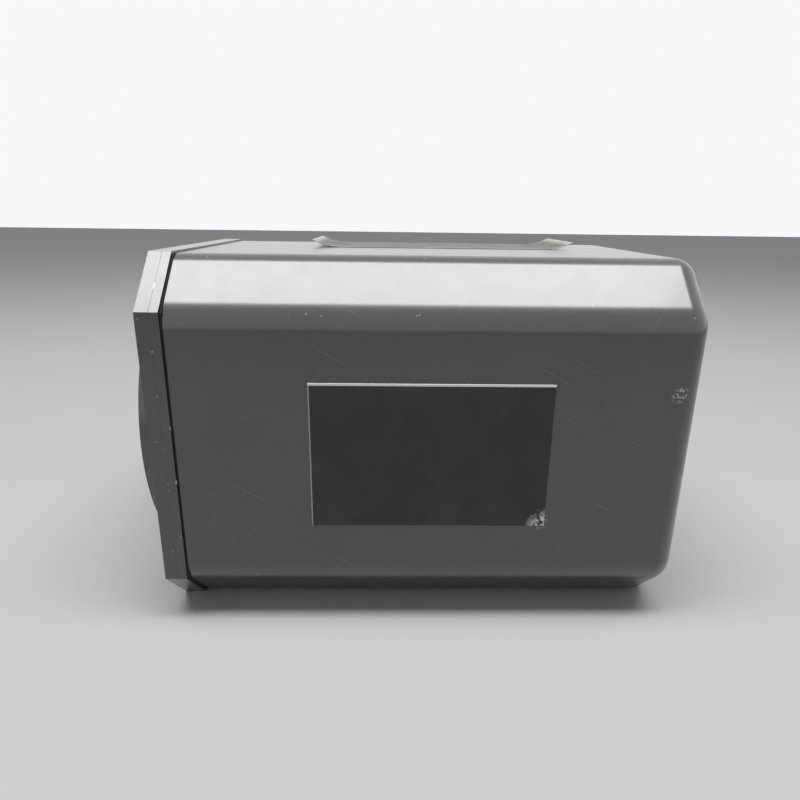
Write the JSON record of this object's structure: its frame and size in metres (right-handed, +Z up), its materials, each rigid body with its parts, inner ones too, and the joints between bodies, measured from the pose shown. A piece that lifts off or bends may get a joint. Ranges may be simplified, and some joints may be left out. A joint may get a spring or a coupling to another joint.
{
  "type": "aircraft course deviation indicator",
  "caption": "Panel-mounted aircraft navigation indicator: octagonal flanged case with round front window, compass card and crossed needles, course knob and a rear multi-pin connector.",
  "frame": {"origin": "middle of the flange's front face, which seats behind the instrument panel, on the axis of the round window", "axes": "+X to the pilot's right, +Y from the face to the rear, +Z up"},
  "size_m": [0.0826, 0.1385, 0.0841],
  "materials": {
    "painted_case": "satin",
    "black_anodised": "matt",
    "chassis_aluminium": "satin",
    "rubber_gasket": "matt",
    "glass": "clear",
    "brass": "satin",
    "steel": "satin",
    "black_screws": "matt",
    "card": "matt",
    "knob": "matt",
    "needle_white": "matt",
    "copper_coil": "enamelled",
    "flag_red": "matt",
    "flag_white": "matt",
    "insulator": "matt",
    "contacts": "plated",
    "board": "satin",
    "nameplate": "satin",
    "label": "matt"
  },
  "bodies": {
    "housing": {"back_plate": "chassis_aluminium", "bezel_screws": "black_screws", "board_capacitors": "insulator", "board_chips": "insulator", "card_bearing": "chassis_aluminium", "case_cover": "painted_case", "centre_dial": "black_anodised", "chassis_front_plate": "painted_case", "connector_contacts": "contacts", "connector_insulator": "insulator", "connector_shell": "steel", "cover_screws": "black_screws", "dial_mask": "black_anodised", "dial_posts": "chassis_aluminium", "flag_meters": "black_anodised", "front_bezel": "painted_case", "front_bulkhead": "chassis_aluminium", "glass_gasket": "rubber_gasket", "glideslope_frame": "steel", "glideslope_magnet": "steel", "idler_pin": "steel", "jack_screws": "steel", "localizer_frame": "steel", "localizer_magnet": "steel", "mid_chassis_plate": "chassis_aluminium", "mount_inserts": "brass", "obs_bushing": "brass", "rear_chassis_plate": "chassis_aluminium", "rear_standoffs": "chassis_aluminium", "resolver_body": "steel", "resolver_plate": "chassis_aluminium", "seam_gasket": "rubber_gasket", "side_board": "board", "side_nameplate": "nameplate", "tie_rods": "chassis_aluminium", "top_board": "board", "top_label": "label", "trimmers": "insulator", "window_glass": "glass"},
    "knob_body": {"obs_knob": "knob", "knob_set_screw": "steel", "obs_shaft": "steel", "front_pinion": "brass", "rear_pinion": "brass"},
    "idler_body": {"idler_gear": "brass"},
    "card_body": {"compass_card": "card", "card_gear": "brass"},
    "resolver_rotor": {"resolver_gear": "brass", "resolver_shaft": "steel"},
    "localizer_body": {"localizer_coil": "copper_coil", "localizer_needle": "needle_white"},
    "glideslope_body": {"glideslope_coil": "copper_coil", "glideslope_needle": "needle_white"},
    "nav_flag_body": {"nav_flag": "flag_red"},
    "gs_flag_body": {"gs_flag": "flag_red"},
    "to_from_body": {"to_from_flag": "flag_white"}
  },
  "joints": [
    {"name": "obs_knob_turn", "type": "hinge", "parent": "housing", "child": "knob_body", "pos_m": [-0.0305, 0, -0.0305], "axis": [0, -1, 0], "continuous": true},
    {"name": "idler_turn", "type": "hinge", "parent": "housing", "child": "idler_body", "pos_m": [-0.02303, 0, -0.02619], "axis": [0, -1, 0], "continuous": true},
    {"name": "card_turn", "type": "hinge", "parent": "housing", "child": "card_body", "pos_m": [0, 0, 0], "axis": [0, -1, 0], "continuous": true},
    {"name": "resolver_turn", "type": "hinge", "parent": "housing", "child": "resolver_rotor", "pos_m": [-0.0215, 0, -0.01491], "axis": [0, -1, 0], "continuous": true},
    {"name": "localizer_swing", "type": "hinge", "parent": "housing", "child": "localizer_body", "pos_m": [0, 0.042, 0], "axis": [0, 0, 1], "range_deg": [-14, 14], "stiffness_Nm_per_rad": 0.01},
    {"name": "glideslope_swing", "type": "hinge", "parent": "housing", "child": "glideslope_body", "pos_m": [0, 0.042, 0], "axis": [1, 0, 0], "range_deg": [-14, 14], "stiffness_Nm_per_rad": 0.01},
    {"name": "nav_flag_turn", "type": "hinge", "parent": "housing", "child": "nav_flag_body", "pos_m": [0.0125, 0, 0.0125], "axis": [0, -1, 0], "range_deg": [0, 60], "stiffness_Nm_per_rad": 0.005},
    {"name": "gs_flag_turn", "type": "hinge", "parent": "housing", "child": "gs_flag_body", "pos_m": [-0.008, 0, 0.014], "axis": [0, -1, 0], "range_deg": [0, 60], "stiffness_Nm_per_rad": 0.005},
    {"name": "to_from_flag_turn", "type": "hinge", "parent": "housing", "child": "to_from_body", "pos_m": [0.014, 0, -0.006], "axis": [0, -1, 0], "range_deg": [-55, 55], "stiffness_Nm_per_rad": 0.005}
  ],
  "couplings": [
    {"joint": "idler_turn", "follows": "obs_knob_turn", "ratio": -0.76923},
    {"joint": "card_turn", "follows": "obs_knob_turn", "ratio": 0.125},
    {"joint": "resolver_turn", "follows": "obs_knob_turn", "ratio": -0.125}
  ]
}
